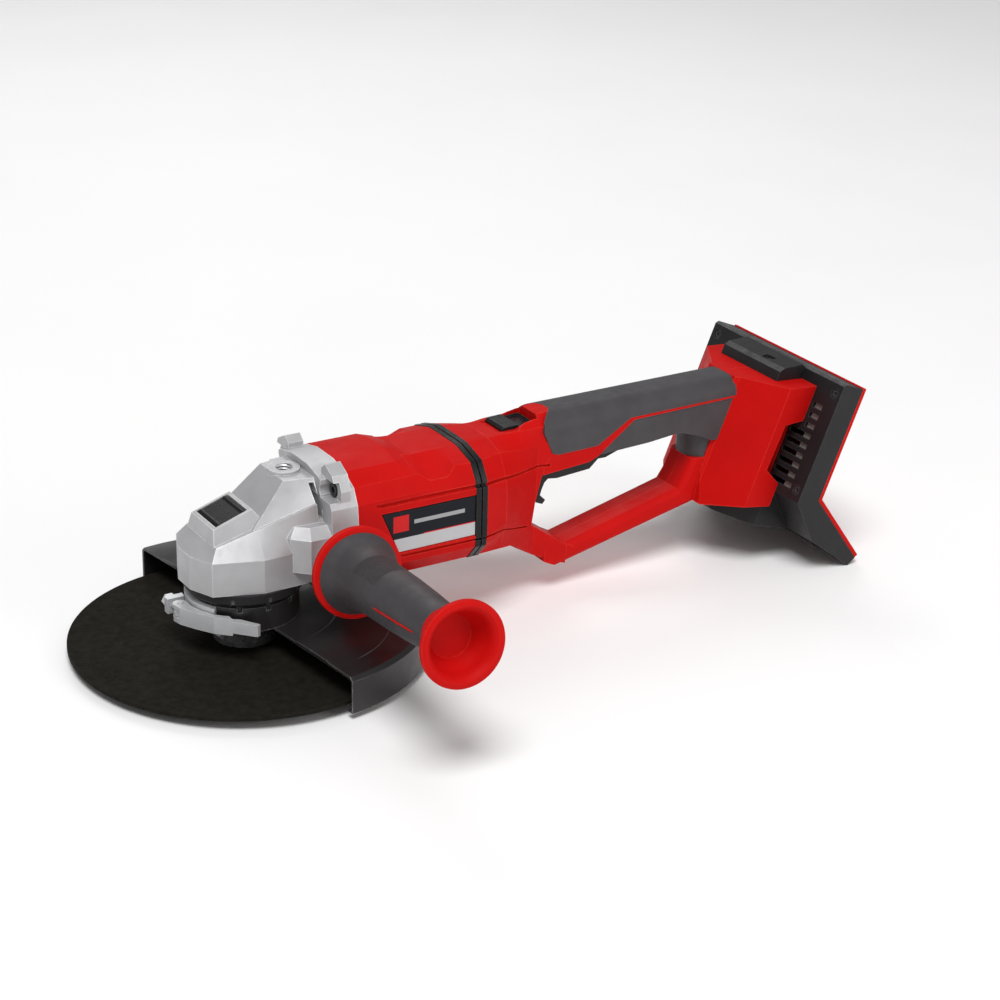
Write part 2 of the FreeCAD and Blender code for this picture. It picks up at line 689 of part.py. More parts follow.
def motor_housing():
    part = new_body("motor_housing")
    sections = [("joint_plane", head_outline()), ("bump_end", head_outline()), ("bump_foot", body_outline()),
                ("ring_at", body_outline())]
    loft(part, "shell", "YZ_Plane", sections)
    for side, name in ((-1, "near"), (1, "far")):
        recess = [(76.4, 88.1), (89.2, 58.1), ("ring_at + 1", 58.3), ("ring_at + 1", 87.6)]
        cut(part, f"{name}_recess", "XZ_Plane", recess, *sorted((side * 50, side * 44.7)))
        upper = [(72.5, 95), (75, 92.2), ("ring_at + 1", 92.2), ("ring_at + 1", 94.6)]
        cut(part, f"{name}_upper_groove", "XZ_Plane", upper, *sorted((side * 50, side * 43.6)))
        lower = [(90.5, 56.8), (92.5, 54.8), ("ring_at + 1", 54.8), ("ring_at + 1", 56.4)]
        cut(part, f"{name}_lower_groove", "XZ_Plane", lower, *sorted((side * 50, side * 44.2)))
        grazing = facing(side, [(17.5, 113.5), (39.5, 108), (52, 108), (52, 126), (17.5, 126)])
        deepest = facing(side, [(17.5, 113.1), (39.5, 102.2), (52, 102.2), (52, 126), (17.5, 126)])
        loft_cut(part, f"{name}_scallop", "YZ_Plane", [(106, grazing), (116, deepest), (128, deepest), (138, grazing)])
    round_cut(part, "bore", "YZ_Plane", (0, "motor_axis"), "motor_bore", 59, 138)
    round_cut(part, "rear_seat", "YZ_Plane", (0, "motor_axis"), 11.02, 137, 145)
    round_cut(part, "rear_way", "YZ_Plane", (0, "motor_axis"), 7, 144, 149)
    for index, spot in enumerate(HOUSING_SCREWS):
        round_cut(part, f"screw_hole{index}", "YZ_Plane", spot, 2.55, 59, 68.5)
    return keep(part)


def label_plate():
    part = new_body("label_plate")
    outline = [(77.5, 87.5), (89.9, 58.7), ("ring_at - 0.3", 58.9), ("ring_at - 0.3", 87)]
    pad(part, "plate", "XZ_Plane", outline, -45.5, -44.7)
    return keep(part)


def motor_parts():
    plate = new_body("bearing_plate")
    profile = [(28.5, 16.02), (28.5, 20.4), (54, 20.4), (54, 37.9), (57, 37.9), (57, 8), (40, 8), (40, 16.02)]
    spin(plate, "turned", profile, "H_Axis")
    lift(plate, (0, 0, "motor_axis"))
    keep(plate)

    shaft = new_body("rotor_shaft")
    line = [(16.2, 0), (16.2, 2.6), (28, 2.6), (28, 5.97), (62, 5.97), (62, 6.5), (128, 6.5), (128, 3.97), (144, 3.97), (144, 0)]
    spin(shaft, "turned", line, "H_Axis")
    lift(shaft, (0, 0, "motor_axis"))
    keep(shaft)

    pinion = new_body("pinion")
    cone = [(17, 2.6), (17, 3.1), (26, 4.9), (27, 4.9), (27, 2.6)]
    spin(pinion, "turned", cone, "H_Axis")
    tooth = pad(pinion, "tooth", "XZ_Plane", [(19, 3.2), (26, 4.6), (26, 5.7), (19, 4.4)], -0.5, 0.5)
    polar(pinion, "teeth", tooth, "X_Axis", 9)
    place = FreeCAD.Rotation(FreeCAD.Vector(1, 0, 0), 20)
    lift(pinion, (0, 0, "motor_axis"), place)
    keep(pinion)

    core = new_body("rotor_core")
    spin(core, "stack", [(78, 6.5), (78, 18.2), (122, 18.2), (122, 6.5)], "H_Axis")
    lift(core, (0, 0, "motor_axis"))
    keep(core)

    stator = new_body("stator")
    ring = [(80, 29), (80, "stator_radius"), (120, "stator_radius"), (120, 29)]
    spin(stator, "yoke", ring, "H_Axis")
    tooth = pad(stator, "tooth", "XY_Plane", [(76, -6.5), (124, -6.5), (124, 6.5), (76, 6.5)], 19, 29.5)
    polar(stator, "teeth", tooth, "X_Axis", 6)
    lift(stator, (0, 0, "motor_axis"))
    keep(stator)

    fan = new_body("fan")
    spin(fan, "hub", [(62, 6.5), (62, 10), (66, 34), (67.5, 34), (68.5, 12), (72, 10), (72, 6.5)], "H_Axis")
    blade = pad(fan, "blade", "XY_Plane", [(59.5, -0.7), (66.5, -0.7), (66.5, 0.7), (59.5, 0.7)], 18, 34)
    polar(fan, "blades", blade, "X_Axis", 11)
    lift(fan, (0, 0, "motor_axis"))
    keep(fan)


def swivel_parts():
    def ring(label, start, end):
        part = new_body(label)
        pad(part, "band", "YZ_Plane", body_outline("ring_proud"), start, end)
        round_cut(part, "bore", "YZ_Plane", (0, "motor_axis"), "swivel_radius + swivel_gap", f"{start} - 1", f"{end} + 1")
        notch_rings(part, start, end)
        return keep(part)

    ring("front_ring", "ring_at", "ring_at + ring_wide")
    rear = "ring_at + ring_wide + ring_gap"
    ring("rear_ring", rear, f"{rear} + ring_wide")

    collar = new_body("handle_collar")
    start = f"{rear} + ring_wide"
    loft(collar, "band", "YZ_Plane", [(start, body_outline()), ("collar_end", seam_outline())])
    round_cut(collar, "bore", "YZ_Plane", (0, "motor_axis"), "swivel_radius + swivel_gap", 155, 176)
    for side, name in ((-1, "near"), (1, "far")):
        for level, front, rear in (("upper", (43.6, 92.2, 94.6), (36.2, 90.2, 92.2)),
                                   ("lower", (44.2, 54.8, 56.4), (36.8, 53.4, 54.8))):
            ends = [facing(side, [(floor, low), (50, low), (50, high), (floor, high)]) for floor, low, high in (front, rear)]
            loft_cut(collar, f"{name}_{level}_groove", "YZ_Plane", [(155, ends[0]), (176, ends[1])])
    keep(collar)

    tube = new_body("swivel_tube")
    line = [("ring_at", 28), ("ring_at", "swivel_radius"), (174.8, "swivel_radius"), (174.8, 34.5), (177.5, 34.5), (177.5, 28)]
    spin(tube, "turned", line, "H_Axis")
    lift(tube, (0, 0, "motor_axis"))
    keep(tube)


def notch_rings(part, start, end):
    """The grooves of the housing run on across the black rings."""
    for side, name in ((-1, "near"), (1, "far")):
        for level, low, high, floor in (("upper", 92.2, 94.6, 43.8), ("lower", 54.8, 56.4, 44.4)):
            slot = [(f"{start} - 1", low), (f"{end} + 1", low), (f"{end} + 1", high), (f"{start} - 1", high)]
            cut(part, f"{name}_{level}_notch", "XZ_Plane", slot, *sorted((side * 50, side * floor)))


# ---------------------------------------------------------------- handle

def seam_outline():
    """Section of the handle where the shells meet their collar."""
    return mirrored([(-17, 34), (-33, 38), (-37.5, 52), (-40.5, 60), (-40.5, 84), (-38.3, 92), (-30, 106.5),
                     (-14.5, 111.5), (-8, 111.8)])


def waist_outline():
    """Section between the seam and the trigger opening."""
    return mirrored([(-14, 30.5), (-25, 34), (-29, 46), (-30.8, 54), (-31.3, 81), (-30.2, 88), (-25.2, 103),
                     (-15.5, 112.8), (-8.5, 113.6)])


def narrow_outline(low):
    """Section at the front of the grip, standing on the height low."""
    near = [(-10, low), (-14, low + 2), (-15.5, low + 10), (-16, low + 20), (-18, 78), (-18.3, 85), (-18.3, 99.5),
            (-16.5, 112), (-9, 119.3)]
    return mirrored(near)


def barrel():
    """Front of the handle: tapers from the collar's section to the grip and the lower bar."""
    part = new_body("barrel_envelope")
    sections = [("collar_end", seam_outline()), (190, waist_outline()), (212, narrow_outline(16)),
                (240, narrow_outline(3))]
    loft(part, "shell", "YZ_Plane", sections)
    side = [("collar_end", 30), (186, 33.5), (234, 4), (240, 5.3), (240, 19.5), (208.5, 42), (215.5, 74), (217, 78.5),
            (223.7, 92), (216.4, 108), ("grip_start", "grip_top"), (213, 118.8), (206, 116), (198, 112.6),
            ("collar_end", 112.5)]
    reach = joined("barrel_reach", [prism("barrel_side", side, -60, 60), top_tongue("barrel_tongue")])
    return shared("barrel", [part, reach])


def barrel_grooves():
    """The motor body's grooves run on down the barrel: (x, floor, low, high) at each section."""
    upper = [(174, 36.9, 90.3, 92.2), (190, 28.8, 87, 88.9), (212, 17, 84.2, 86), (222, 17, 83.2, 84.8)]
    lower = [(174, 36.4, 53.3, 54.8), (190, 28.2, 47.6, 49), (202, 20.5, 43.6, 44.8)]
    grooves = []
    for side, name in ((-1, "near"), (1, "far")):
        for level, line in (("upper", upper), ("lower", lower)):
            part = new_body(f"barrel_{name}_{level}_groove")
            sections = []
            for at, floor, low, high in line:
                corners = [(floor, low), (floor + 9, low), (floor + 9, high), (floor, high)]
                sections.append((at, facing(side, corners)))
            loft(part, "line", "YZ_Plane", sections)
            grooves.append(part)
    return grooves


def top_tongue(name):
    """The shells reach back between the two front horns of the rubber grip."""
    half = [(210, 17), (217.5, 16.5), (224, 9.8), (228.5, 4)]
    near = [(across, -up) for across, up in half]
    return plan_prism(name, near + half[::-1], 110, 121)


def pod_block(name):
    """Outside of the pod, in the leaning frame: it widens from the grip to the battery base."""
    side = [(0, -12), (-22, -17), (-38, -28), (-43, -4), (-44, 20), (-44, 66), (-22, 73), (0, 80)]
    deep = prism(f"{name}_side", side, "-pod_half - 5", "pod_half + 5")
    half = [(-46, 14), (-41, 17.5), (-22, "pod_half"), (0, "pod_half")]
    near = [(across, f"-({up})") for across, up in half]
    wide = plan_prism(f"{name}_plan", near + half[::-1], -40, 95)
    return shared(name, [deep, wide])


def pod():
    """Rear of the handle, in the leaning frame."""
    solid = pod_block("pod_block")
    vents = []
    for sign, name in ((-1, "near"), (1, "far")):
        notch = [(1, 54), (-14, 47), (-15, 13), (1, 5)]
        vents.append(prism(f"pod_{name}_vent", notch, *sorted((sign * 38, sign * 60))))
    hollow = prism("pod_hollow", [(1, -4), (-18, -8), (-18, 62), (1, 70)], -34, 34)
    result = less("pod", solid, joined("pod_cuts", vents + [hollow]))
    leaned(result)
    return result


def handle_shells():
    profile = [(222, 30), (222, 10), (234, 4), (372, 34.3), (372, "pillar_joint"), (344.6, "pillar_joint"),
               (338.5, 49), (333.5, 41.8), (241, 19.5)]
    bar = prism("bar", profile, "-bar_half", "bar_half")

    def along_side(edge):
        low, high = edge.BoundBox.YMin, edge.BoundBox.YMax
        return high - low < 0.1 and (edge.Length > 60 or 333 < edge.BoundBox.Center.x < 342)
    bar = rounded("bar_soft", bar, 5, along_side)
    cheek = [(217, 77.5), (254, 80), (262, 83.3), (269, 88.7), (290.5, 104.4), ("grip_end + 1", 105.6),
             ("grip_end + 1", 107), (287.5, 106.5), (260.5, 90.8), (228.5, 90.3), (223.6, 92), (217, 84)]
    cheeks = prism("trigger_cheeks", cheek, "-cheek_half", "cheek_half")
    solid = joined("handle_solid", [barrel(), bar, grip_core("grip_core"), cheeks, pod()])
    cone = doc.addObject("Part::Cone", "barrel_hollow")
    cone.Radius1 = 37
    cone.Radius2 = 22.5
    cone.Height = 24
    lift(cone, (174, 0, "motor_axis"), FreeCAD.Rotation(FreeCAD.Vector(0, 1, 0), 90))
    wiring = block("grip_hollow", (192, -12.5, 95.5), (385, 12.5, 108))
    roof = block("grip_roof", (231, -12.5, 107), (385, 12.5, 113.5))
    slot = block("trigger_slot", (205, "-trigger_half - trigger_gap", 48), (304, "trigger_half + trigger_gap", 102))
    latch = block("slider_slot", (187.6, "-stem_half - 0.4", 100), (206.4, "stem_half + 0.4", 113))
    seat = block("slider_seat", (182.8, "-slider_half - 0.5", "slider_floor"), (215.1, "slider_half + 0.5", 121))
    bar_hollow = prism("bar_hollow", [(238, 8.5), (345, 32.5), (346, 38), (242, 15.5)], -10.5, 10.5)
    pin = cylinder("pivot_hole", 2.04, 34, ("pivot_at", 17, "pivot_high"), (0, -1, 0))
    room = joined("handle_room", [cone, wiring, roof, slot, latch, seat, bar_hollow])
    hollowed = less("handle_hollowed", solid, less("handle_cuts", room, at_shell_screws("screw_boss", 5, -60, 60)))
    holes = [pin, at_shell_screws("screw_way", 1.45, -8.2, SHELL_SCREW_SEAT + 1),
             at_shell_screws("screw_recess", 3.4, SHELL_SCREW_SEAT, 60)]
    drilled = joined("handle_holes", holes + barrel_grooves())
    handle = less("handle_drilled", hollowed, drilled)
    for label, low, high in (("handle_left_shell", -70, 0), ("handle_right_shell", 0, 70)):
        half = block(f"{label}_side", (150, low, -40), (450, high, 140))
        keep(shared(label, [handle, half]), label)


def at_shell_screws(name, radius, near, far):
    """A cylinder across the handle at every shell screw."""
    rods = []
    for index, (x, z) in enumerate(SHELL_SCREWS):
        rods.append(cylinder(f"{name}{index}", radius, far - near, (x, near, z), (0, 1, 0)))
    return joined(name, rods)


def grip_core(name):
    """The hard core that the rubber grip wraps round."""
    plain = block(f"{name}_block", (205, "-core_half", "core_low"), (380, "core_half", "core_top"))

    def top_edge(edge):
        return along_x(edge) and edge.BoundBox.ZMin > value("core_top") - 1
    return rounded(name, plain, 9.5, top_edge)


def grips():
    blank = [(212, 84), (212, "grip_top"), ("grip_end", "grip_top"), ("grip_end", 84)]
    outer = prism("grip_outer", blank, "-grip_half", "grip_half")

    def top_edge(edge):
        return along_x(edge) and edge.BoundBox.ZMin > value("grip_top") - 1
    outer = rounded("grip_round", outer, 12, top_edge)
    side = [("grip_start + 0.2", "grip_top + 1"), (216.5, 108), (223.8, 92.1), (228.6, 90.4), (260.4, 90.9), (287.4, 106.6),
            ("grip_end", 107.1), ("grip_end", "grip_top + 1")]
    upper = shared("upper_grip_solid", [outer, prism("upper_grip_side", side, -30, 30)])
    room = [grip_core("upper_grip_core"), top_tongue("upper_grip_tongue"), pod_front("upper_grip_pod")]
    keep(less("upper_grip", upper, joined("upper_grip_cuts", room)), "upper_grip")

    low = [(263.5, 83.3), (304, 84.6), (330, 87), (345, 82), (358, 76), (378, 74), (378, 105.4), (290.7, 104.3), (269.2, 88.6)]
    half = [(344.6, 5), (348, 11), (354, 14.5), (376, 14.5)]
    near = [(across, -up) for across, up in half]
    pillar = plan_prism("lower_grip_pillar", near + half[::-1], "pillar_joint", 92)
    lower = joined("lower_grip_solid", [prism("lower_grip_block", low, -18, 18), pillar])
    inside = joined("lower_grip_cuts", [
        block("lower_grip_core", (200, "-core_half", "core_low"), (390, "core_half", 120)),
        block("lower_grip_slot", (205, "-trigger_half - trigger_gap", 48), (304, "trigger_half + trigger_gap", 102)),
        cylinder("lower_grip_pivot", 2.04, 34, ("pivot_at", 17, "pivot_high"), (0, -1, 0)),
        pod_front("lower_grip_pod"),
        at_shell_screws("lower_grip_recess", 3.4, SHELL_SCREW_SEAT, 60)])
    keep(less("lower_grip", lower, inside), "lower_grip")


def pod_front(name):
    """Room for the pod, where it stands."""
    solid = pod_block(name)
    leaned(solid)
    return solid


def controls():
    trigger = new_body("trigger")
    outline = [(235.4, 67.5), (228, 68.5), (225.2, 66), (223, 61), (222, 57.5), (226.4, 53), (224, 50.4), (219, 52.5),
               (216, 58), (215, 66), (216, 76), (218, 82), (229, 91), (262, 91), (290, 93), (300, 92), (301.5, 86),
               (299, 83), (275, 75.2), (269, 75.4), (262, 69.2)]
    pad(trigger, "paddle", "XZ_Plane", outline, "-trigger_half", "trigger_half")
    round_cut(trigger, "pivot", "XZ_Plane", ("pivot_at", "pivot_high"), 2.05, "-trigger_half - 1", "trigger_half + 1")
    keep(trigger)
    keep(cylinder("trigger_pin", 2, 30, ("pivot_at", 15, "pivot_high"), (0, -1, 0)), "trigger_pin")

    slider = new_body("lock_slider")
    steps = [(187.5, 111.7), (187.5, 113.4), (189.5, 114.9), (200, 115.2), (201, 113.6), (213.5, 113.9), (214.5, 112.8), (214.5, 111.7)]
    pad(slider, "cap", "XZ_Plane", steps, "-slider_half", "slider_half")
    dish = [(202.2, "1.3 - slider_half"), (213, "1.3 - slider_half"), (213, "slider_half - 1.3"), (202.2, "slider_half - 1.3")]
    cut(slider, "dish", "XY_Plane", dish, 112.5, 116)
    foot = [(192, "-stem_half"), (206, "-stem_half"), (206, "stem_half"), (192, "stem_half")]
    pad(slider, "stem", "XY_Plane", foot, 106.5, 112)
    keep(slider)

    switch = new_body("switch_module")
    pad(switch, "case", "XZ_Plane", [(232, 102.4), (282, 102.4), (282, 112.8), (232, 112.8)], -7, 7)
    pad(switch, "plunger", "XZ_Plane", [(243, 95), (249, 95), (249, 103), (243, 103)], -3, 3)
    keep(switch)

    board = new_body("controller_board")
    pad(board, "board", "XZ_Plane", [(-16, -2), (-14, -2), (-14, 58), (-16, 58)], -30, 30)
    for index, height in enumerate((6, 22, 38)):
        pad(board, f"switch{index}", "XZ_Plane", [(-14.5, height), (-9, height), (-9, height + 10), (-14.5, height + 10)], -20, 20)
    leaned(board)
    keep(board)

    leads = []
    for across in (-5, 5):
        leads.append(cylinder(f"lead{'a' if across < 0 else 'b'}", 1.6, 94, (282, across, 106), (1, 0, 0)))
    group("battery_leads", leads)

    screws = []
    for x, z in SHELL_SCREWS:
        screws.append(screw(f"shell_screw{len(screws)}", 3.2, 2.2, 1.4, 20, (x, SHELL_SCREW_SEAT, z), (0, 1, 0)))
    group("handle_screws", screws)


# ---------------------------------------------------------------- battery base

def battery_base():
    part = new_body("battery_base")
    side = [(0, 0), (0, "base_tall - 2"), (2, "base_tall"), ("base_deep", "base_tall"), ("base_deep", 5.3), (72.8, -28.6),
            (68.6, -35.4), (26, -24)]
    pad(part, "slab", "XZ_Plane", side, "-base_half", "base_half")
    gusset = [(0, 1), (0, -12.2), (-16, -17), (-21.8, -20.5), (-31.7, -26.7), (-29, -28.8), (-6, -29), (26, -26), (26, -14), (10, 1)]
    pad(part, "gusset", "XZ_Plane", gusset, -46, 46)
    for side in (-1, 1):
        corner = [(-45, 50 * side), (-45, 14 * side), (-3, 46.2 * side), (-3, 50 * side)]
        cut(part, f"gusset_taper{side + 1}", "XY_Plane", corner, -32, 2)
    cut(part, "hollow", "XZ_Plane", [(6, 10), (6, 84), (19, 84), (19, 10)], -66, 66)
    cut(part, "foot_hollow", "XZ_Plane", [(5, 3), (18, 1.5), (58, -23.5), (56, -27), (8, -2.5)], -68, 68)
    for side_sign, name in ((-1, "near"), (1, "far")):
        for index in range(9):
            low = 6.5 + 7.4 * index
            inner = 40 if index < 6 else 53
            gap = [(side_sign * inner, low), (side_sign * 63, low), (side_sign * 63, low + 3.6), (side_sign * inner, low + 3.6)]
            cut(part, f"{name}_vent{index}", "YZ_Plane", gap, -1, 12)
        for level, height in (("low", 8), ("high", 81)):
            round_cut(part, f"{name}_{level}_screw", "YZ_Plane", (side_sign * 69.5, height), 3.6, -1, 3)
    leaned(part)
    return keep(part)


def base_details():
    plate = new_body("battery_plate")
    rear = "base_deep + plate_deep"
    side = [("base_deep", 5.3), ("base_deep", "base_tall + 1"), (rear, "base_tall + 1"), (rear, 7), (74.4, -26), (72.8, -28.6)]
    pad(plate, "sheet", "XZ_Plane", side, "-base_half", "base_half")
    for sign, name in ((-1, "near"), (1, "far")):
        window = [(sign * 22, 40), (sign * 52, 40), (sign * 52, 62), (sign * 22, 62)]
        cut(plate, f"{name}_window", "YZ_Plane", window, "base_deep - 1", f"{rear} + 1")
    leaned(plate)
    keep(plate)

    rails = []
    for centre in (-37, 37):
        for edge in (-1, 1):
            foot = centre + edge * 27
            lip = foot - edge * 5
            low, high = sorted((foot, foot + edge * 3))
            inner, outer = sorted((lip, foot + edge * 3))
            web = block(f"rail_web{len(rails)}", ("base_deep + plate_deep", low, 16), ("base_deep + plate_deep + 7", high, 88))
            cap = block(f"rail_lip{len(rails)}", ("base_deep + plate_deep + 4.5", inner, 16), ("base_deep + plate_deep + 7", outer, 88))
            rails.append(joined(f"rail{len(rails)}", [web, cap]))
    for rail in rails:
        leaned(rail)
    group("battery_rails", rails)

    blocks = []
    for centre in (-37, 37):
        case = block(f"terminal_case{len(blocks)}", ("base_deep - 4", centre - 14, 41), ("base_deep + plate_deep + 5", centre + 14, 61))
        slots = []
        for offset in (-9, -3, 3, 9):
            spot = centre + offset
            low = ("base_deep + plate_deep - 2", spot - 0.6, 43)
            slots.append(block(f"terminal_slot{len(blocks)}_{offset + 9}", low, ("base_deep + plate_deep + 6", spot + 0.6, 62)))
        solid = less(f"terminal_block{len(blocks)}", case, joined(f"terminal_slots{len(blocks)}", slots))
        leaned(solid)
        blocks.append(solid)
    group("terminal_blocks", blocks)

    cap = new_body("base_cap")
    top = [(0, 80.1), (0, 88), (-4, 90), (-19, 83.5), (-22, 80), (-22, 73.1)]
    pad(cap, "hood", "XZ_Plane", top, -33, 33)
    round_cut(cap, "hook", "XZ_Plane", (-15, 85.5), 3, -14, -4)
    leaned(cap)
    keep(cap)

    screws = []
    for across in (-69.5, 69.5):
        for height in (8, 81):
            screws.append(leaned_screw(f"base_screw{len(screws)}", (2.9, across, height)))
    group("base_screws", screws)


def leaned_screw(name, spot):
    """A base screw: a separate solid under the leaning frame."""
    head = cylinder(f"{name}_head", 3.4, 2.2, (spot[0] - 2.2, spot[1], spot[2]), (1, 0, 0))
    socket = doc.addObject("Part::Prism", f"{name}_socket")
    socket.Polygon = 6
    socket.Circumradius = 1.8
    socket.Height = 1.4
    lift(socket, (spot[0] - 2.3, spot[1], spot[2]), FreeCAD.Rotation(FreeCAD.Vector(0, 1, 0), 90))
    solid = less(name, head, socket)
    leaned(solid)
    return solid


# ---------------------------------------------------------------- side handle

def side_handle():
    core = new_body("side_handle_core")
    end = "handle_long"
    profile = [("stud_radius", -16.5), (13, -16.5), (14.5, -3), ("handle_flange - 1", -1.5), ("handle_flange", 0), ("handle_flange", 3),
               ("handle_flange - 3", 4.2), (11, 5), (9.5, 8), (9.5, 126), (15.5, 127), (15.5, 131), (18, 138),
               ("handle_cap - 1.5", f"{end} - 6"), ("handle_cap", f"{end} - 3"), ("handle_cap", f"{end} - 0.5"),
               ("handle_cap - 1", end), ("handle_cap - 4", end), (21, f"{end} - 2"), (19.5, f"{end} - 5"),
               (18.5, f"{end} - 9"), (13.5, f"{end} - 18"), (0, f"{end} - 18"), (0, 32), ("stud_radius", 32)]
    spin(core, "turned", profile)
    grip = new_body("side_handle_grip")
    sleeve = [(11.2, 5.2), ("handle_flange - 3.3", 4.6), ("handle_flange - 5", 7.5), (22.5, 12), (20.5, 20), (19.3, 29),
              (18.6, 45), (18.2, 70), (17.2, 95), (16.2, 112), (15.4, 126.6), (9.6, 125.8), (9.6, 8.1)]
    spin(grip, "turned", sleeve)
    stud = new_body("side_handle_stud")
    round_pad(stud, "rod", "XY_Plane", (0, 0), "stud_radius", -40, 32)
    for part in (core, grip, stud):
        lift(part, ("handle_at", "handle_out", "handle_high"), handle_frame())
        keep(part)


# ---------------------------------------------------------------- build

gear_housing()
bearing_flange()
gear_head_fasteners()
spindle_group()
ring_bearing("lower_bearing", 7.5, 17.5, 36.6, 47, "Z")
ring_bearing("upper_bearing", 5.0, 7.98, 72, 80.6, "Z")
ring_bearing("front_motor_bearing", 6.0, 16, 30, 39.8, "X")
ring_bearing("rear_motor_bearing", 4.0, 11, 138.2, 144.6, "X")
spindle_lock()
coil("lock_spring", (-14, 0, 73.45), 3.8, 0.4, 2.6, 12.3)
guard_parts()
motor_housing()
label_plate()
motor_parts()
swivel_parts()
handle_shells()
grips()
controls()
coil("trigger_spring", (274, 0, 92.8), 3.2, 0.4, 1.9, 9.2)
battery_base()
base_details()
side_handle()
doc.recompute()

for item in doc.Objects:
    broken = {"Invalid", "Error"} & set(item.State)
    if broken:
        raise RuntimeError(f"{item.Name} is {item.State}")
for part in nodes:
    if part.Shape.isNull() or not part.Shape.isValid() or not part.Shape.Solids:
        raise RuntimeError(f"{part.Label} has no sound shape")

os.makedirs("parts", exist_ok=True)
for part in nodes:
    part.Shape.exportStep(f"parts/{part.Label}.step")
print(len(nodes), "nodes written")
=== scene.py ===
import math

import bmesh
import bpy
from mathutils import Matrix, Vector


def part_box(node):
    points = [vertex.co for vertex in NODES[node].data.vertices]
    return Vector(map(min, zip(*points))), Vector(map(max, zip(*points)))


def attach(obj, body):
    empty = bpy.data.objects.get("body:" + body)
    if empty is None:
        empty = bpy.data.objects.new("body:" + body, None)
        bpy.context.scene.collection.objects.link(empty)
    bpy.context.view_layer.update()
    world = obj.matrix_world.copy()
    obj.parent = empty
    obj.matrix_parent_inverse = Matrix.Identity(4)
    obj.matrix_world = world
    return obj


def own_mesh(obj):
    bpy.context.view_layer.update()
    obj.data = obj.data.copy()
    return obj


# Battery angle grinder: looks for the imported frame. Metres, +Z up along the spindle, +X to the rear,
# -Y to the side handle's side.

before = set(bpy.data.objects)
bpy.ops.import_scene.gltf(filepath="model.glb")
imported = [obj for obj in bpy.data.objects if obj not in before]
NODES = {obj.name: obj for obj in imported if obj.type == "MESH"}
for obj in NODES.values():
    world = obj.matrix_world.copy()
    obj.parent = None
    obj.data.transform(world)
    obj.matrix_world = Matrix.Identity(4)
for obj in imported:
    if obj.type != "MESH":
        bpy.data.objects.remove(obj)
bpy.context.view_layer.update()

# The side handle's own frame: its flange centre and the way it points.
RISE = math.radians(6.7)
SWING = math.radians(4.1)
HANDLE_AT = Vector((0.0447, -0.0705, 0.0653))
HANDLE_OUT = Vector((-math.sin(SWING) * math.cos(RISE), -math.cos(SWING) * math.cos(RISE), math.sin(RISE)))
HANDLE_SIDE = (Vector((1, 0, 0)) - HANDLE_OUT * HANDLE_OUT.x).normalized()
HANDLE_UP = HANDLE_OUT.cross(HANDLE_SIDE)

# The battery base's own frame: it leans back from its lower front corner.
LEAN = math.radians(22.3)
BASE_AT = Vector((0.393, 0, 0.042))
BASE_BACK = Vector((math.cos(LEAN), 0, -math.sin(LEAN)))
BASE_UP = Vector((math.sin(LEAN), 0, math.cos(LEAN)))


# The label: where its silver band ends, its red line, its red square and its grey bar.
LABEL_SPLIT = 0.0682
LABEL_LINE_TOP = 0.0689
LABEL_LINE_START = 0.108
SQUARE_X, SQUARE_Z = (0.0855, 0.0970), (0.0728, 0.0842)
BAR_X, BAR_Z = (0.1010, 0.1390), (0.0768, 0.0796)

# The side handle's knurl: ridge density, the radius it winds on, its reach along the handle and round it.
KNURL_DENSITY = 4200.0
KNURL_RADIUS = 0.0185
KNURL_REACH = (0.030, 0.060)
KNURL_SPREAD = 0.62

# The camera: its place, its azimuth, elevation and roll in degrees, and its focal length on a 36 mm sensor.
CAMERA_AT = (-0.628, -1.319, 0.731)
CAMERA_TURNS = (-31.94, 23.45, 1.43)
CAMERA_LENS = 89.2

# The point every lamp is aimed at, and the white sky's strength.
LIT_POINT = (0.15, 0, 0.05)
SKY_STRENGTH = 0.31

# Corner rounding: welding distance, and the angles (degrees) above which a mesh edge counts as a corner.
WELD_DISTANCE = 0.000002
FLAT_ANGLE = 1.0
CORNER_ANGLE = 32
CREASE_ANGLE = 15


# ---------------------------------------------------------------- materials

def mix_colour(tree, kind, factor, first, second):
    """A colour mix whose inputs may be colours or sockets."""
    node = tree.nodes.new("ShaderNodeMix")
    node.data_type = "RGBA"
    node.blend_type = kind
    for name, item in (("Factor", factor), ("A", first), ("B", second)):
        socket = next(s for s in node.inputs if s.name == name and s.enabled)
        if isinstance(item, bpy.types.NodeSocket):
            tree.links.new(item, socket)
        else:
            socket.default_value = item
    return next(s for s in node.outputs if s.enabled)


def noise(tree, where, scale, detail):
    node = tree.nodes.new("ShaderNodeTexNoise")
    node.inputs["Scale"].default_value = scale
    node.inputs["Detail"].default_value = detail
    node.inputs["Roughness"].default_value = 0.55
    tree.links.new(where, node.inputs["Vector"])
    return node.outputs["Fac"]


def ramp(tree, source, low, high, out_low=0.0, out_high=1.0):
    node = tree.nodes.new("ShaderNodeMapRange")
    node.inputs["From Min"].default_value = low
    node.inputs["From Max"].default_value = high
    node.inputs["To Min"].default_value = out_low
    node.inputs["To Max"].default_value = out_high
    tree.links.new(source, node.inputs["Value"])
    return node.outputs["Result"]


def edge_mask(tree, radius, low, high):
    """1 on edges and corners, 0 on flat faces: how far the rounded normal leaves the real one."""
    soft = tree.nodes.new("ShaderNodeBevel")
    soft.samples = 4
    soft.inputs["Radius"].default_value = radius
    true = tree.nodes.new("ShaderNodeNewGeometry")
    dot = tree.nodes.new("ShaderNodeVectorMath")
    dot.operation = "DOT_PRODUCT"
    tree.links.new(soft.outputs["Normal"], dot.inputs[0])
    tree.links.new(true.outputs["Normal"], dot.inputs[1])
    return ramp(tree, dot.outputs["Value"], high, low)


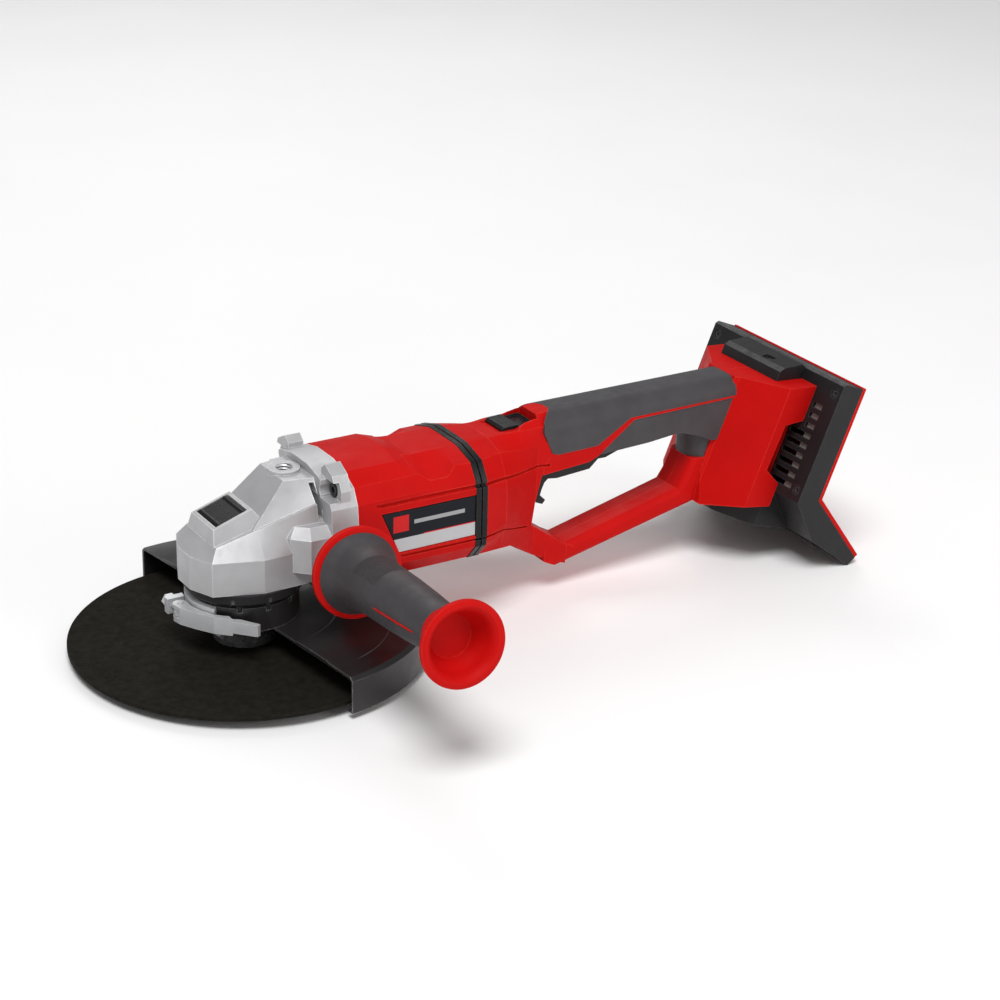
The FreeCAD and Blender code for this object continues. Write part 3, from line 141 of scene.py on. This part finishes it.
def calc(tree, operation, first, second=None):
    """A Math node on sockets or numbers."""
    node = tree.nodes.new("ShaderNodeMath")
    node.operation = operation
    for socket, item in zip(node.inputs, (first, second)):
        if isinstance(item, bpy.types.NodeSocket):
            tree.links.new(item, socket)
        elif item is not None:
            socket.default_value = item
    return node.outputs["Value"]


def along(tree, where, start, direction):
    """Distance from start along a direction."""
    offset = tree.nodes.new("ShaderNodeVectorMath")
    offset.operation = "SUBTRACT"
    tree.links.new(where, offset.inputs[0])
    offset.inputs[1].default_value = start
    dot = tree.nodes.new("ShaderNodeVectorMath")
    dot.operation = "DOT_PRODUCT"
    tree.links.new(offset.outputs["Vector"], dot.inputs[0])
    dot.inputs[1].default_value = direction
    return dot.outputs["Value"]


def between(tree, number, low, high):
    """1 where the number lies between low and high."""
    above = calc(tree, "GREATER_THAN", number, low)
    return calc(tree, "MULTIPLY", above, calc(tree, "LESS_THAN", number, high))


def surface(name, colour, rough, metallic=0.0, shade=0.12, grain=(3200, 0.05), blotch=40, edge_highlight=None,
            edge_highlight_at=(0.97, 0.8), edge_highlight_radius=0.0009, rough_swing=0.08, specular=0.5, paint=None, relief=None):
    """A moulded or metal finish: colour variation, fine grain, uneven gloss and painted highlights on edges
    and creases, broken into patches.

    paint(tree, where, tone) may colour zones, and relief(tree, where) gives a height added to the grain.
    """
    material = bpy.data.materials.new(name)
    material.use_nodes = True
    tree = material.node_tree
    shader = next(n for n in tree.nodes if n.type == "BSDF_PRINCIPLED")
    where = tree.nodes.new("ShaderNodeTexCoord").outputs["Object"]
    full = (*colour, 1.0)
    dark = (*(c * (1 - shade) for c in colour), 1.0)
    light = (*(min(1.0, c * (1 + shade)) for c in colour), 1.0)
    patches = ramp(tree, noise(tree, where, blotch, 4.0), 0.3, 0.7)
    tone = mix_colour(tree, "MIX", patches, dark, light)
    specks = ramp(tree, noise(tree, where, grain[0] * 0.35, 2.0), 0.42, 0.62)
    tone = mix_colour(tree, "MIX", specks, tone, mix_colour(tree, "MIX", 0.5, tone, full))
    # painted highlight: edges and creases found by the Bevel node are lightened towards a paler colour, in
    # noise patches
    if edge_highlight:
        highlight_mask = edge_mask(tree, edge_highlight_radius, edge_highlight_at[1], edge_highlight_at[0])
        highlight_patches = ramp(tree, noise(tree, where, 260, 3.0), 0.3, 0.62, 0.25, 1.0)
        tone = mix_colour(tree, "MIX", calc(tree, "MULTIPLY", highlight_mask, highlight_patches), tone, (*edge_highlight, 1.0))
    if paint:
        tone = paint(tree, where, tone)
    tree.links.new(tone, shader.inputs["Base Color"])
    clouds = noise(tree, where, blotch * 2.3, 3.0)
    gloss = ramp(tree, clouds, 0.3, 0.7, rough - rough_swing, rough + rough_swing)
    tree.links.new(gloss, shader.inputs["Roughness"])
    shader.inputs["Metallic"].default_value = metallic
    shader.inputs["Specular IOR Level"].default_value = specular
    bump = tree.nodes.new("ShaderNodeBump")
    bump.inputs["Strength"].default_value = grain[1] * 4
    bump.inputs["Distance"].default_value = 0.0002
    fine = noise(tree, where, grain[0], 2.0)
    tree.links.new(fine, bump.inputs["Height"])
    if relief:
        raised = tree.nodes.new("ShaderNodeBump")
        raised.inputs["Strength"].default_value = 1.0
        raised.inputs["Distance"].default_value = 0.0006
        tree.links.new(relief(tree, where), raised.inputs["Height"])
        tree.links.new(bump.outputs["Normal"], raised.inputs["Normal"])
        tree.links.new(raised.outputs["Normal"], shader.inputs["Normal"])
    else:
        tree.links.new(bump.outputs["Normal"], shader.inputs["Normal"])
    return material


def label_print(tree, where, tone):
    """A dark band over a silver one, a red line between them, a red square and a grey bar: no lettering."""
    x = along(tree, where, (0, 0, 0), (1, 0, 0))
    z = along(tree, where, (0, 0, 0), (0, 0, 1))
    silver = calc(tree, "LESS_THAN", z, LABEL_SPLIT)
    tone = mix_colour(tree, "MIX", silver, tone, (0.50, 0.50, 0.51, 1))
    line = calc(tree, "MULTIPLY", between(tree, z, LABEL_SPLIT, LABEL_LINE_TOP),
                calc(tree, "GREATER_THAN", x, LABEL_LINE_START))
    square = calc(tree, "MULTIPLY", between(tree, z, *SQUARE_Z), between(tree, x, *SQUARE_X))
    red = calc(tree, "MAXIMUM", line, square)
    tone = mix_colour(tree, "MIX", red, tone, (0.62, 0.012, 0.012, 1))
    bar = calc(tree, "MULTIPLY", between(tree, z, *BAR_Z), between(tree, x, *BAR_X))
    return mix_colour(tree, "MIX", bar, tone, (0.36, 0.36, 0.37, 1))


def knurl(tree, where):
    """Cross-cut ridges on the thumb pads of the side handle."""
    out = along(tree, where, HANDLE_AT, HANDLE_OUT)
    side = along(tree, where, HANDLE_AT, HANDLE_SIDE)
    up = along(tree, where, HANDLE_AT, HANDLE_UP)
    angle = calc(tree, "ARCTAN2", up, side)
    around = calc(tree, "MULTIPLY", angle, KNURL_RADIUS)
    first = calc(tree, "SINE", calc(tree, "MULTIPLY", calc(tree, "ADD", out, around), KNURL_DENSITY))
    second = calc(tree, "SINE", calc(tree, "MULTIPLY", calc(tree, "SUBTRACT", out, around), KNURL_DENSITY))
    ridges = calc(tree, "MULTIPLY", calc(tree, "MULTIPLY", first, second), 0.5)
    pad = calc(tree, "GREATER_THAN", calc(tree, "ABSOLUTE", calc(tree, "SINE", angle)), KNURL_SPREAD)
    zone = calc(tree, "MULTIPLY", between(tree, out, *KNURL_REACH), pad)
    return calc(tree, "MULTIPLY", ridges, zone)


def knurl_shade(tree, where, tone):
    """The valleys of the knurl hold more shade than its ridges."""
    valley = ramp(tree, knurl(tree, where), -0.05, -0.35)
    return mix_colour(tree, "MIX", valley, tone, (0.028, 0.026, 0.028, 1))


RED = (0.525, 0.0055, 0.0048)
# painted highlight colour laid on the red plastic's edges and creases
RED_EDGE_HIGHLIGHT = (0.68, 0.035, 0.022)
MATERIALS = {
    "cast": surface("cast_aluminium", (0.48, 0.48, 0.49), 0.46, 0.4, 0.05, (1700, 0.06), 60,
                    (0.90, 0.90, 0.90), (0.985, 0.86), 0.0012),
    "red": surface("red_plastic", RED, 0.5, 0.0, 0.07, (2600, 0.045), 30, RED_EDGE_HIGHLIGHT, (0.996, 0.93), 0.0011,
                   specular=0.06),
    "black": surface("black_plastic", (0.014, 0.0133, 0.0145), 0.42, 0.0, 0.2, (2400, 0.07), 45,
                     (0.09, 0.09, 0.094), (0.975, 0.8), 0.0008, specular=0.26),
    "gloss": surface("gloss_black_plastic", (0.008, 0.008, 0.009), 0.27, 0.0, 0.2, (2400, 0.03), 45,
                     (0.10, 0.10, 0.105), (0.985, 0.85), 0.0008, rough_swing=0.05, specular=0.2),
    "grip": surface("soft_grip", (0.050, 0.047, 0.051), 0.55, 0.0, 0.16, (5200, 0.12), 55,
                    (0.10, 0.10, 0.105), (0.97, 0.8), 0.0009, specular=0.4),
    "knurled_grip": surface("side_grip_rubber", (0.047, 0.043, 0.047), 0.52, 0.0, 0.18, (5200, 0.12), 55,
                            (0.11, 0.11, 0.115), (0.97, 0.8), 0.0009, specular=0.4,
                            paint=knurl_shade, relief=knurl),
    "guard": surface("guard_enamel", (0.014, 0.0125, 0.013), 0.36, 0.0, 0.25, (1500, 0.015), 35,
                     (0.40, 0.39, 0.38), (0.98, 0.84), 0.0008),
    # painted highlight: the bead is enamelled like the guard but coloured lighter grey
    "guard_bead": surface("guard_bead_painted_highlight", (0.10, 0.098, 0.096), 0.3, 0.0, 0.1, (1500, 0.015), 35),
    "zinc": surface("zinc_plate", (0.60, 0.61, 0.62), 0.36, 0.35, 0.06, (2200, 0.004), 60,
                    (0.92, 0.92, 0.92), (0.98, 0.84), 0.0008),
    "steel": surface("ground_steel", (0.42, 0.42, 0.43), 0.3, 0.8, 0.12, (2500, 0.01), 90,
                     (0.8, 0.8, 0.8), (0.98, 0.84), 0.0005),
    "dark_steel": surface("black_steel", (0.02, 0.02, 0.022), 0.38, 0.1, 0.2, (1800, 0.01), 60,
                          (0.25, 0.25, 0.25), (0.98, 0.84), 0.0005),
    "disc": surface("abrasive", (0.011, 0.0095, 0.0065), 0.9, 0.0, 0.45, (1100, 0.5), 160,
                    (0.05, 0.045, 0.04), (0.97, 0.8), 0.0008, specular=0.15),
    "label": surface("label_print", (0.005, 0.0065, 0.011), 0.42, 0.0, 0.1, (1500, 0.02), 40,
                     specular=0.18, paint=label_print),
    "filter": surface("filter_mesh", (0.26, 0.25, 0.235), 0.6, 0.3, 0.2, (1500, 0.5), 900),
    "iron": surface("laminations", (0.24, 0.24, 0.25), 0.45, 0.7, 0.1, (1800, 0.1), 60, (0.5, 0.5, 0.5)),
    "board": surface("circuit_green", (0.02, 0.11, 0.045), 0.45, 0.0, 0.15, (1500, 0.1), 200,
                     (0.2, 0.3, 0.2)),
    "lead": surface("lead_sleeve", (0.35, 0.015, 0.015), 0.5, 0.0, 0.1, (1800, 0.1), 60, (0.5, 0.1, 0.1)),
}

FINISH = {
    "cast": ["gear_housing", "bearing_plate"],
    "red": ["motor_housing", "handle_collar", "handle_left_shell", "handle_right_shell", "battery_plate",
            "side_handle_core"],
    "black": ["bearing_flange", "swivel_tube", "trigger", "battery_base", "base_cap",
              "terminal_blocks", "switch_module", "fan"],
    "gloss": ["front_ring", "rear_ring", "lock_slider", "lock_button"],
    "grip": ["upper_grip", "lower_grip"],
    "knurled_grip": ["side_handle_grip"],
    "label": ["label_plate"],
    "guard": ["guard_shell", "guard_collar"],
    "zinc": ["clamp_bracket", "clamp_lug", "clamp_adjuster", "clamp_lever", "lever_pin", "trigger_pin",
             "battery_rails"],
    "steel": ["spindle", "bevel_gear", "pinion", "rotor_shaft", "lower_bearing", "upper_bearing",
              "front_motor_bearing", "rear_motor_bearing", "lock_pin", "lock_spring", "trigger_spring",
              "side_handle_stud", "inner_flange"],
    "dark_steel": ["flange_screws", "housing_screws", "handle_screws", "base_screws", "flange_nut"],
    "disc": ["cutting_disc"],
    "iron": ["stator", "rotor_core"],
    "board": ["controller_board"],
    "lead": ["battery_leads"],
}

# How far each node's corners are rounded, in metres.
SOFTEN = {
    "gear_housing": 0.0017, "motor_housing": 0.001, "handle_left_shell": 0.0011, "handle_right_shell": 0.0011,
    "handle_collar": 0.0006, "front_ring": 0.0005, "rear_ring": 0.0005, "battery_base": 0.001,
    "battery_plate": 0.0006, "base_cap": 0.0009, "guard_shell": 0.0004, "lock_button": 0.0007,
    "lock_slider": 0.0008, "trigger": 0.001, "label_plate": 0.0003, "upper_grip": 0.0007, "lower_grip": 0.001,
    "side_handle_core": 0.0006, "side_handle_grip": 0.0006, "cutting_disc": 0.0003, "terminal_blocks": 0.0003,
    "battery_rails": 0.0003, "base_screws": 0.0002, "housing_screws": 0.0003, "handle_screws": 0.0002,
}

# Nodes whose shallow creases are rounded too.
CREASED = {"gear_housing", "motor_housing", "handle_left_shell", "handle_right_shell", "handle_collar",
           "front_ring", "rear_ring", "battery_base", "base_cap"}


def soften(piece, width, corner):
    """Rounds a CAD node's corners with modifiers; its own mesh keeps its points."""
    mesh = piece.data
    if "custom_normal" in mesh.attributes:
        mesh.attributes.remove(mesh.attributes["custom_normal"])
    mesh.polygons.foreach_set("use_smooth", [True] * len(mesh.polygons))
    weld = piece.modifiers.new("weld", "WELD")
    weld.merge_threshold = WELD_DISTANCE
    flat = piece.modifiers.new("flats", "DECIMATE")
    flat.decimate_type = "DISSOLVE"
    flat.angle_limit = math.radians(FLAT_ANGLE)
    bevel = piece.modifiers.new("bevel", "BEVEL")
    bevel.width = width
    bevel.segments = 3
    bevel.limit_method = "ANGLE"
    bevel.angle_limit = math.radians(corner)
    bevel.harden_normals = True
    bevel.use_clamp_overlap = True


for finish, names in FINISH.items():
    for name in names:
        piece = NODES[name]
        piece.data.materials.clear()
        piece.data.materials.append(MATERIALS[finish])
for name, width in SOFTEN.items():
    soften(NODES[name], width, CREASE_ANGLE if name in CREASED else CORNER_ANGLE)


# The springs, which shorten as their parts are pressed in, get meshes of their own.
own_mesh(NODES["lock_spring"])
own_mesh(NODES["trigger_spring"])


# ---------------------------------------------------------------- small pieces the CAD leaves out

def new_piece(name, verts, faces, finish, body):
    mesh = bpy.data.meshes.new(name)
    mesh.from_pydata(verts, [], faces)
    mesh.validate()
    piece = bpy.data.objects.new(name, mesh)
    bpy.context.scene.collection.objects.link(piece)
    work = bmesh.new()
    work.from_mesh(mesh)
    bmesh.ops.recalc_face_normals(work, faces=work.faces)
    work.to_mesh(mesh)
    work.free()
    mesh.materials.append(MATERIALS[finish])
    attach(piece, body)


def on_handle(out, radius, angle):
    """A point of the side handle: distance along it, from its axis, and round it."""
    outward = HANDLE_SIDE * math.cos(angle) + HANDLE_UP * math.sin(angle)
    return HANDLE_AT + HANDLE_OUT * out + outward * radius


def on_base(back, across, up):
    return BASE_AT + BASE_BACK * back + Vector((0, across, 0)) + BASE_UP * up


def tube(rings):
    """Faces through rings of equal point counts, with both ends closed."""
    count = len(rings[0])
    verts = [tuple(point) for ring in rings for point in ring]
    faces = []
    for step in range(len(rings) - 1):
        for index in range(count):
            a = step * count + index
            b = step * count + (index + 1) % count
            over = a - index + count
            faces.append((a, b, over + (index + 1) % count, over + index))
    faces.append(tuple(range(count)))
    faces.append(tuple((len(rings) - 1) * count + index for index in reversed(range(count))))
    return verts, faces


# The side handle's grip under its inlays: distance along the handle, and radius.
GRIP_PROFILE = [(0.066, 0.01826), (0.070, 0.0182), (0.095, 0.0172), (0.112, 0.0162), (0.118, 0.01588)]


def grip_lines():
    """The red inlay let into both flats of the side handle, with its dark border."""
    for turn, side in ((math.pi, "front"), (0.0, "rear")):
        for label, finish, slot, half, lift in (("border", "black", "black_plastic", 0.0017, 0.00012),
                                                ("inlay", "red", "red_plastic", 0.0009, 0.00028)):
            rings = []
            for out, radius in GRIP_PROFILE:
                taper = 0.35 if out in (GRIP_PROFILE[0][0], GRIP_PROFILE[-1][0]) else 1.0
                spread = half * taper / radius
                low, high = radius - 0.0006, radius + lift
                rings.append([on_handle(out, low, turn - spread), on_handle(out, high, turn - spread * 0.7),
                              on_handle(out, high, turn + spread * 0.7), on_handle(out, low, turn + spread)])
            verts, faces = tube(rings)
            new_piece(f"side_grip_{label}_{side}", verts, faces, finish, "head")


def vent_filters():
    """Dust screens behind the outer ends of the battery base's slots."""
    for side, name in ((-1, "near"), (1, "far")):
        rings = []
        for up in (0.0062, 0.0700):
            corners = [(0.0022, 0.0535), (0.0022, 0.0632), (0.0034, 0.0632), (0.0034, 0.0535)]
            rings.append([on_base(back, side * across, up) for back, across in corners])
        verts, faces = tube(rings)
        new_piece(f"vent_filter_{name}", verts, faces, "filter", "rear_handle")


def guard_arc():
    """The fine bead pressed up in the guard's top, round the spindle; its lighter grey finish is a painted
    highlight.
    """
    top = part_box("guard_shell")[1].z - 0.0008
    half, high, steps = 0.0005, 0.0004, 30
    rings = []
    for step in range(steps + 1):
        angle = math.radians(-73 + 29 * step / steps)
        radius = 0.1036 - 0.0055 * (step / steps) ** 2
        outward = Vector((math.cos(angle), math.sin(angle), 0))
        taper = min(1.0, 0.25 + 4 * min(step, steps - step) / steps)
        low = top - 0.0004
        rings.append([outward * (radius - half * taper) + Vector((0, 0, low)),
                      outward * (radius - half * taper * 0.4) + Vector((0, 0, top + high * taper)),
                      outward * (radius + half * taper * 0.4) + Vector((0, 0, top + high * taper)),
                      outward * (radius + half * taper) + Vector((0, 0, low))])
    verts, faces = tube(rings)
    new_piece("guard_bead", verts, faces, "guard_bead", "guard")


def tapped_thread(name, centre, axis, radius, length, pitch=0.002, depth=0.0008):
    """Visible turns of a tapped hole: a ridge wound down its wall."""
    axis = Vector(axis).normalized()
    side = axis.orthogonal().normalized()
    up = axis.cross(side)
    steps = 28
    turns = int(length / pitch)
    rings = []
    for step in range(turns * steps + 1):
        angle = 2 * math.pi * step / steps
        outward = side * math.cos(angle) + up * math.sin(angle)
        foot = Vector(centre) + axis * (pitch * step / steps)
        rings.append([foot + outward * (radius + 0.0001),
                      foot + outward * (radius - depth) + axis * pitch * 0.42,
                      foot + outward * (radius + 0.0001) + axis * pitch * 0.84])
    verts, faces = tube(rings)
    new_piece(name, verts, faces, "cast", "head")


grip_lines()
vent_filters()
guard_arc()
tapped_thread("top_thread_turns", (0.030, 0, 0.1035), (0, 0, 1), 0.006, 0.010)
far_out = Vector((HANDLE_OUT.x, -HANDLE_OUT.y, HANDLE_OUT.z))
far_face = Vector((HANDLE_AT.x, -HANDLE_AT.y, HANDLE_AT.z)) - far_out * 0.0315
tapped_thread("side_thread_turns", far_face, far_out, 0.006, 0.011)


# ---------------------------------------------------------------- floor, light and camera

def place_floor():
    """A pale plane through the flange nut and the foot, on which the grinder stands."""
    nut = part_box("flange_nut")[0]
    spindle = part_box("spindle")[0]
    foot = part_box("battery_base")
    low_front = Vector((0.0, 0.0, min(nut.z, spindle.z) - 0.0002))
    slope = math.atan2(low_front.z - foot[0].z, foot[1].x - 0.01)
    mesh = bpy.data.meshes.new("floor")
    half = 25.0
    corners = [(-half, -half, 0), (half, -half, 0), (half, half, 0), (-half, half, 0)]
    mesh.from_pydata(corners, [], [(0, 1, 2, 3)])
    floor = bpy.data.objects.new("floor", mesh)
    floor.matrix_world = Matrix.Translation(low_front) @ Matrix.Rotation(slope, 4, "Y")
    bpy.context.scene.collection.objects.link(floor)
    mesh.materials.append(surface("floor_paper", (0.97, 0.97, 0.97), 0.75, 0.0, 0.01, (300, 0.005), 3))


def add_light(name, place, size, power):
    data = bpy.data.lights.new(name, "AREA")
    data.shape = "DISK"
    data.size = size
    data.energy = power
    light = bpy.data.objects.new(name, data)
    light.location = place
    light.rotation_euler = (Vector(LIT_POINT) - Vector(place)).to_track_quat("-Z", "Y").to_euler()
    bpy.context.scene.collection.objects.link(light)


def set_stage():
    place_floor()
    add_light("key", (-1.2, -2.0, 4.6), 2.4, 190)
    add_light("fill", (1.2, -1.9, 0.75), 1.2, 10)
    add_light("rim", (0.7, 1.7, 1.6), 1.2, 10)
    world = bpy.data.worlds.new("studio")
    world.use_nodes = True
    background = next(n for n in world.node_tree.nodes if n.type == "BACKGROUND")
    background.inputs["Color"].default_value = (1, 1, 1, 1)
    background.inputs["Strength"].default_value = SKY_STRENGTH
    bpy.context.scene.world = world
    bpy.context.scene.view_settings.view_transform = "Standard"


def set_camera():
    azimuth, elevation, roll = (math.radians(angle) for angle in CAMERA_TURNS)
    back = Vector((math.sin(azimuth) * math.cos(elevation), -math.cos(azimuth) * math.cos(elevation),
                   math.sin(elevation)))
    right = Vector((math.cos(azimuth), math.sin(azimuth), 0))
    up = back.cross(right)
    turned_right = right * math.cos(roll) + up * math.sin(roll)
    turned_up = up * math.cos(roll) - right * math.sin(roll)
    data = bpy.data.cameras.new("camera")
    data.lens = CAMERA_LENS
    data.sensor_width = 36
    data.clip_start = 0.05
    camera = bpy.data.objects.new("camera", data)
    turn = Matrix((turned_right, turned_up, back)).transposed().to_4x4()
    camera.matrix_world = Matrix.Translation(CAMERA_AT) @ turn
    bpy.context.scene.collection.objects.link(camera)
    bpy.context.scene.camera = camera


set_stage()
set_camera()
